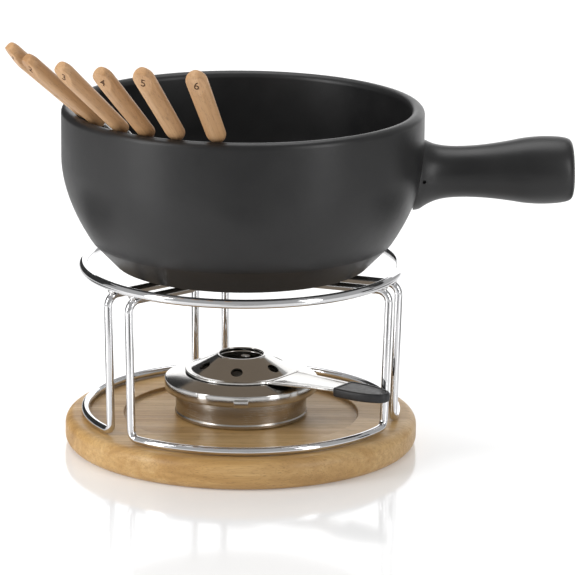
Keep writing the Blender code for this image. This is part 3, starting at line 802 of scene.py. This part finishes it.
def make_wadding_pad(wool):
    side = PAN_INNER - GAP
    low = CUP_LOW.z + PAN_SHEET + GAP
    outline = [(side * i / 28, PAD_TOP) for i in range(28)]
    outline += rounded([(side, PAD_TOP, 0.0010), (side, low, 0.0010), (0.0, low)], 3)
    bm = turned(outline, 120, BURNER.xy)
    for vert in bm.verts:
        if vert.co.z > PAD_TOP - PAD_RELIEF / 2:
            vert.co.z -= PAD_RELIEF * (0.5 + 0.5 * noise.noise(vert.co * PAD_LUMPS))
    piece("mineral_wool_pad", bm, "burner", wool, ("burner_wadding",), 60)


def make_gauze(steel):
    """Plain-woven wire gauze held in a ring."""
    middle = PAD_TOP + GAP + 2 * GAUZE_WIRE
    reach = PAN_INNER - GAP - 2 * GAUZE_WIRE
    strands = []
    half_count = int(reach / GAUZE_PITCH)
    for row in range(-half_count, half_count + 1):
        offset = row * GAUZE_PITCH
        half = math.sqrt(reach ** 2 - offset ** 2)
        last = int(half / (GAUZE_PITCH / 2))
        for turn in (0, 1):
            path = []
            for step in range(-last, last + 1):
                lift = GAUZE_WIRE * 0.95 * (0 if step % 2 else (1 if (step // 2 + row + turn) % 2 else -1))
                run = step * GAUZE_PITCH / 2
                at = Vector((run, offset, lift)) if turn == 0 else Vector((offset, run, lift))
                path.append(at + Vector((BURNER.x, BURNER.y, middle)))
            if len(path) > 3:
                strands.append(drawn(frames(path, [1.0] * len(path)), GAUZE_WIRE, 6))
    strands.append(turned(circle(reach, middle, GAUZE_RIM, 10), axis=BURNER.xy, closed=True))
    piece("woven_gauze", joined(strands), "burner", steel, ("burner_gauze",), 60)


def hole_drills(height_at):
    """Six drills square to the cone of the burner."""
    slope = math.atan2(CONE_TOP - SEAT_HEIGHT, SEAT_INNER - CONE_MOUTH)
    drills = []
    for hole in range(AIR_HOLES):
        out = heading(ARM_AZIMUTH + 360 / AIR_HOLES * hole)
        normal = out * math.sin(slope) + Vector((0, 0, math.cos(slope)))
        drill = bmesh.new()
        bmesh.ops.create_cone(drill, segments=40, radius1=AIR_HOLE_RADIUS, radius2=AIR_HOLE_RADIUS,
                              depth=DRILL_LENGTH, cap_ends=True)
        turn = normal.to_track_quat("Z", "Y").to_matrix().to_4x4()
        spot = Vector((BURNER.x, BURNER.y, height_at)) + out * AIR_HOLE_CIRCLE
        bmesh.ops.transform(drill, verts=drill.verts, matrix=Matrix.Translation(spot) @ turn)
        drills.append(drill)
    return joined(drills)


def cone_height(radius):
    """Height of the fixed cone's upper face at a distance from the burner's axis."""
    return SEAT_HEIGHT + (CONE_TOP - SEAT_HEIGHT) * (SEAT_INNER - radius) / (SEAT_INNER - CONE_MOUTH)


def make_cap(chrome):
    """Pressed lid: rolled skirt, sloping shoulder, a flat seat and a fixed cone, in one sheet."""
    skirt, outside, inside = CAP_LOW.z, CAP_RADIUS, CAP_RADIUS - SHEET
    outline = rounded([(CONE_MOUTH, CONE_TOP, 0.0003), (SEAT_INNER, SEAT_HEIGHT, 0.0010),
                       (SEAT_OUTER, SEAT_HEIGHT, 0.0012), (outside, SHOULDER_HEIGHT, 0.0011),
                       (outside, skirt, 0.0004), (inside - 0.0003, skirt, 0.0003),
                       (inside - 0.0001, skirt + 0.0012, 0.0003), (inside, SHOULDER_HEIGHT - 0.0010, 0.0006),
                       (SEAT_OUTER - 0.0002, SEAT_HEIGHT - SHEET, 0.0006),
                       (SEAT_INNER - 0.0002, SEAT_HEIGHT - SHEET, 0.0006),
                       (CONE_MOUTH - 0.0004, CONE_TOP - SHEET, 0.0002)], 4)
    bm = cut(turned(outline, axis=BURNER.xy, closed=True), hole_drills(cone_height(AIR_HOLE_CIRCLE)))
    piece("burner_lid", bm, "cap", chrome, ("burner_cap",), 30)


def make_lug(chrome):
    """Plain rounded lug pressed out of the skirt."""
    bm = bmesh.new()
    bmesh.ops.create_cube(bm, size=1.0)
    size = LUG_HIGH - LUG_LOW
    bmesh.ops.scale(bm, verts=bm.verts, vec=size)
    bmesh.ops.translate(bm, verts=bm.verts, vec=(LUG_LOW + LUG_HIGH) / 2)
    bevelled(bm, bm.edges, min(size) * 0.48, 5)
    bmesh.ops.recalc_face_normals(bm, faces=bm.faces)
    piece("skirt_lug", bm, "cap", chrome, ("cap_lug",), 50)


def arm_plate():
    """Tapering arm with softened edges and a shallow pressed panel."""
    out, across = heading(ARM_AZIMUTH), heading(ARM_AZIMUTH + 90)
    centre = Vector((BURNER.x, BURNER.y, 0.0))
    bm = bmesh.new()
    rows = eased(ARM_STATIONS, 3)
    first = rows[0]
    ends = [bm.verts.new(centre + out * first[0] + across * first[1] * side + Vector((0, 0, first[2])))
            for side in (-1, 1)]
    edges = [bm.edges.new(ends)]
    for row in rows[1:]:
        grown = bmesh.ops.extrude_edge_only(bm, edges=edges)["geom"]
        verts = verts_in(grown)
        edges = [item for item in grown if isinstance(item, bmesh.types.BMEdge) and item.is_boundary
                 and all(vert in verts for vert in item.verts)]
        for vert in verts:
            side = 1 if (vert.co - centre).dot(across) > 0 else -1
            vert.co = centre + out * row[0] + across * row[1] * side + Vector((0, 0, row[2]))
    bm.normal_update()
    if sum(face.normal.z for face in bm.faces) < 0:
        bmesh.ops.reverse_faces(bm, faces=bm.faces)
    slab = bmesh.ops.extrude_face_region(bm, geom=list(bm.faces))["geom"]
    tops = [item for item in slab if isinstance(item, bmesh.types.BMFace)]
    bmesh.ops.translate(bm, verts=verts_in(slab), vec=(0, 0, PLATE))
    bmesh.ops.recalc_face_normals(bm, faces=bm.faces)
    border, step, depth = ARM_PANEL
    bmesh.ops.inset_region(bm, faces=tops, thickness=border, depth=0.0, use_even_offset=True)
    bmesh.ops.inset_region(bm, faces=tops, thickness=step, depth=-depth, use_even_offset=False)
    sharp = [edge for edge in bm.edges if edge.calc_face_angle(0.0) > math.radians(60)]
    bevelled(bm, sharp, 0.0004, 3)
    bmesh.ops.recalc_face_normals(bm, faces=bm.faces)
    return bm


def make_regulator(chrome):
    """Dome that turns on the cap's seat, with its arm."""
    low = CONE_TOP + REGULATOR_LIFT
    high = low + SHEET
    seat = SEAT_HEIGHT + GAP
    outline = rounded([(CONE_MOUTH + 0.0006, high + 0.0008, 0.0004),
                       (CONE_MOUTH + 0.0012, high - 0.0001, 0.0004),
                       (SEAT_INNER + 0.0003, seat + PLATE, 0.0040), (FLANGE_RADIUS, seat + PLATE, 0.0006),
                       (FLANGE_RADIUS, seat, 0.0003), (SEAT_INNER + 0.0002, seat, 0.0030),
                       (CONE_MOUTH + 0.0002, low, 0.0003),
                       (CONE_MOUTH - 0.0006, low + 0.0005, 0.0002),
                       (CONE_MOUTH - 0.0005, high + 0.0008, 0.0004)], 6)
    bm = cut(turned(outline, axis=BURNER.xy, closed=True),
             hole_drills(cone_height(AIR_HOLE_CIRCLE) + REGULATOR_LIFT))
    bm = cut(bm, arm_plate(), "UNION")
    piece("regulator_dome_and_arm", bm, "regulator", chrome, ("burner_regulator",), 30)


def make_grip(plastic):
    """Moulded grip: a soft-edged pad with a raised border round its grained top."""
    out, across = heading(ARM_AZIMUTH), heading(ARM_AZIMUTH + 90)
    centre = Vector((BURNER.x, BURNER.y, GRIP_LOW.z))
    rows = eased(GRIP_STATIONS, 3)
    corners = [centre + out * row[0] + across * row[1] for row in rows]
    corners += [centre + out * row[0] - across * row[1] for row in reversed(rows)]
    bm = bmesh.new()
    bm.faces.new([bm.verts.new(corner) for corner in corners])
    slab = bmesh.ops.extrude_face_region(bm, geom=list(bm.faces))["geom"]
    bmesh.ops.translate(bm, verts=verts_in(slab), vec=(0, 0, GRIP_HIGH.z - GRIP_LOW.z))
    bmesh.ops.recalc_face_normals(bm, faces=bm.faces)
    rim = [edge for edge in bm.edges if edge.calc_face_angle(0.0) > math.radians(60)]
    bevelled(bm, rim, 0.0011, 4)
    top = [face for face in bm.faces if face.normal.z > 0.99 and face.calc_area() > 1e-4]
    border, step, depth = GRIP_PANEL
    bmesh.ops.inset_region(bm, faces=top, thickness=border, depth=0.0, use_even_offset=True)
    bmesh.ops.inset_region(bm, faces=top, thickness=step, depth=-depth, use_even_offset=True)
    bmesh.ops.triangulate(bm, faces=[face for face in bm.faces if len(face.verts) > 8])
    bmesh.ops.recalc_face_normals(bm, faces=bm.faces)
    piece("regulator_pad", bm, "regulator", plastic, ("regulator_grip",), 40)


# ---- studio -----------------------------------------------------------------------
CAMERA_PLACE = (0.0, -2.3816, 0.7127)
CAMERA_YAW, CAMERA_PITCH, CAMERA_ROLL = 0.011725, 0.252804, 0.010011
CAMERA_LENS = 251.80
CAMERA_SENSOR = 36.0
SOFTBOXES = (               # name, azimuth, distance, height, size, power, height aimed at, seen in gloss
    ("left_softbox", -62, 1.5, 0.65, (0.40, 1.1), 10, 0.12, True),
    ("right_softbox", 50, 1.6, 0.65, (0.35, 1.1), 7, 0.12, True),
    ("left_fill", -72, 1.1, 0.45, (0.5, 0.5), 5, 0.02, False),
    ("overhead_softbox", 180, 0.5, 1.9, (1.6, 1.2), 17, 0.12, True),
    ("back_softbox", 180, 3.2, 0.85, (4.6, 1.7), 28, 0.12, True))
DARK_CARDS = (              # name, azimuth, distance, height, size
    ("front_dark_card", 8, 2.8, 0.35, (0.9, 0.16)),
    ("left_dark_card", -138, 1.6, 0.6, (1.7, 1.5)),
    ("right_dark_card", 96, 1.7, 0.3, (0.35, 0.5)))
DARK_MATS = (               # name, place on the floor, radius
    ("left_dark_mat", (-0.34, 0.12), 0.17),
    ("right_dark_mat", (0.40, 0.12), 0.17),
    ("front_dark_mat", (0.0, -0.44), 0.15))
DARK = (0.02, 0.02, 0.02)
MAT_HEIGHT = 0.0005
# glowing disc under the pot, seen only in gloss: it paints a warm reflection of a lit pot underside into the
# burner
GLOW_DISC_RADIUS = 0.085
GLOW_DISC_DROP = 0.010      # below the pot
PAINTED_REFLECTION_GLOW = (0.215, 0.175, 0.135, 1.0)
STUDIO_RADIUS = 9.0
WHITE = (1.0, 1.0, 1.0, 1.0)
WORLD_STRENGTH = 0.44


def make_camera():
    data = bpy.data.cameras.new("camera")
    data.lens, data.sensor_width, data.clip_end = CAMERA_LENS, CAMERA_SENSOR, 50.0
    camera = placed("camera", data)
    ahead = Vector((math.sin(CAMERA_YAW) * math.cos(CAMERA_PITCH),
                    math.cos(CAMERA_YAW) * math.cos(CAMERA_PITCH), -math.sin(CAMERA_PITCH)))
    right = Vector((math.cos(CAMERA_YAW), -math.sin(CAMERA_YAW), 0.0))
    up = right.cross(ahead)
    right, up = (right * math.cos(CAMERA_ROLL) + up * math.sin(CAMERA_ROLL),
                 up * math.cos(CAMERA_ROLL) - right * math.sin(CAMERA_ROLL))
    turn = Matrix((right, up, -ahead)).transposed().to_4x4()
    camera.matrix_world = Matrix.Translation(CAMERA_PLACE) @ turn
    bpy.context.scene.camera = camera


def make_softbox(name, azimuth, distance, height, size, power, aim, gloss):
    data = bpy.data.lights.new(name, "AREA")
    data.shape, data.size, data.size_y, data.energy = "RECTANGLE", size[0], size[1], power
    lamp = placed(name, data)
    lamp.visible_camera, lamp.visible_glossy = False, gloss
    lamp.location = heading(azimuth) * distance + Vector((0, 0, height))
    lamp.rotation_euler = (lamp.location - Vector((0, 0, aim))).to_track_quat("Z", "Y").to_euler()


def make_card(name, azimuth, distance, height, size):
    """A flat dark card seen only in reflections."""
    bm = bmesh.new()
    bmesh.ops.create_grid(bm, x_segments=1, y_segments=1, size=0.5)
    bmesh.ops.scale(bm, verts=bm.verts, vec=(size[0], size[1], 1.0))
    place = heading(azimuth) * distance + Vector((0, 0, height))
    turn = (Vector((0, 0, height)) - place).to_track_quat("Z", "Y").to_matrix().to_4x4()
    bmesh.ops.transform(bm, verts=bm.verts, matrix=Matrix.Translation(place) @ turn)
    add_card(name, bm, Finish(name, DARK, 0.9))


def add_card(name, bm, finish):
    mesh = meshed(name, bm)
    mesh.materials.append(finish.material)
    card = placed(name, mesh)
    card.visible_camera = card.visible_shadow = card.visible_diffuse = False


def make_mat(name, spot, radius):
    """A soft-edged dark disc just over the floor, seen only in reflections."""
    bm = bmesh.new()
    bmesh.ops.create_circle(bm, cap_ends=True, segments=48, radius=radius)
    bmesh.ops.translate(bm, verts=bm.verts, vec=(*spot, MAT_HEIGHT))
    finish = Finish(name, DARK, 0.9, centre=(*spot, MAT_HEIGHT))
    away = finish.add("ShaderNodeVectorMath", operation="LENGTH")
    finish.link(finish.place, away.inputs[0])
    finish.link(finish.range(away.outputs["Value"], radius * 0.55, radius, 0.9, 0.0),
                          finish.surface.inputs["Alpha"])
    add_card(name, bm, finish)


def make_bounce():
    """Glowing disc under the pot, seen only in the polished burner: a painted warm reflection that stands in
    for the pot's lit underside.
    """
    bm = bmesh.new()
    bmesh.ops.create_circle(bm, cap_ends=True, segments=64, radius=GLOW_DISC_RADIUS)
    bmesh.ops.translate(bm, verts=bm.verts, vec=(0.0, 0.0, POT_BASE - GLOW_DISC_DROP))
    add_card("painted_pot_base_reflection", bm, Finish("painted_pot_base_reflection", (0.0, 0.0, 0.0), 0.9,
                                          Emission_Color=PAINTED_REFLECTION_GLOW, Emission_Strength=1.0))


def make_floor():
    bm = bmesh.new()
    bmesh.ops.create_circle(bm, cap_ends=True, segments=96, radius=STUDIO_RADIUS)
    mesh = meshed("floor", bm)
    finish = Finish("white_floor", (0.80, 0.80, 0.80), 0.10, IOR=1.60, Emission_Color=WHITE,
                    Emission_Strength=0.16)
    soft = finish.noise(finish.mapped((6, 6, 6)), detail=2.0)
    finish.roughness(finish.range(soft, 0.3, 0.7, 0.08, 0.12))
    mesh.materials.append(finish.material)
    placed("floor", mesh)


def make_world():
    world = bpy.data.worlds.new("studio")
    world.use_nodes = True
    backing = world.node_tree.nodes["Background"]
    backing.inputs["Color"].default_value = WHITE
    backing.inputs["Strength"].default_value = WORLD_STRENGTH
    bpy.context.scene.world = world
    bpy.context.scene.view_settings.view_transform = "Standard"


def main():
    board_wood = beech("oiled_beech_board", (0.61, 0.40, 0.175), (0.51, 0.302, 0.106), (0.35, 0.185, 0.052),
                       along=0, coat=0.15)
    fork_wood = beech("beech_sticks", (0.57, 0.355, 0.19), (0.475, 0.27, 0.125), (0.34, 0.175, 0.07),
                      along=2, coat=0.10, source="stick")
    bright = plating("bright_chrome", (0.76, 0.76, 0.77), 0.04)
    weld = plating("weld_chrome", (0.74, 0.73, 0.72), 0.16, 0.08)
    pressed = plating("pressed_chrome", (0.60, 0.59, 0.575), 0.09, 0.05)
    pan_steel = brushing("brushed_pan_steel", (0.50, 0.47, 0.43), 0.20, 0.08)
    dull_steel = brushing("gauze_wire_steel", (0.50, 0.49, 0.47), 0.34)
    fork_steel_finish = plating("fork_shaft_steel", (0.66, 0.65, 0.64), 0.18, 0.08)
    glaze = make_glaze()
    plastic = make_plastic()
    wool = make_wadding()
    scorch = make_scorch()
    make_board(board_wood)
    make_stand(bright, weld)
    make_pot(glaze)
    make_pot_handle(glaze)
    for number in range(1, 7):
        turn, length, tip = stick_frame(number)
        fork_handle(number, turn, length, fork_wood, scorch)
        fork_steel(number, turn, tip, fork_steel_finish)
    make_cup(pan_steel)
    make_wadding_pad(wool)
    make_gauze(dull_steel)
    make_cap(pressed)
    make_lug(pressed)
    make_regulator(pressed)
    make_grip(plastic)
    make_camera()
    make_world()
    make_floor()
    for row in SOFTBOXES:
        make_softbox(*row)
    for row in DARK_CARDS:
        make_card(*row)
    for row in DARK_MATS:
        make_mat(*row)
    make_bounce()


main()
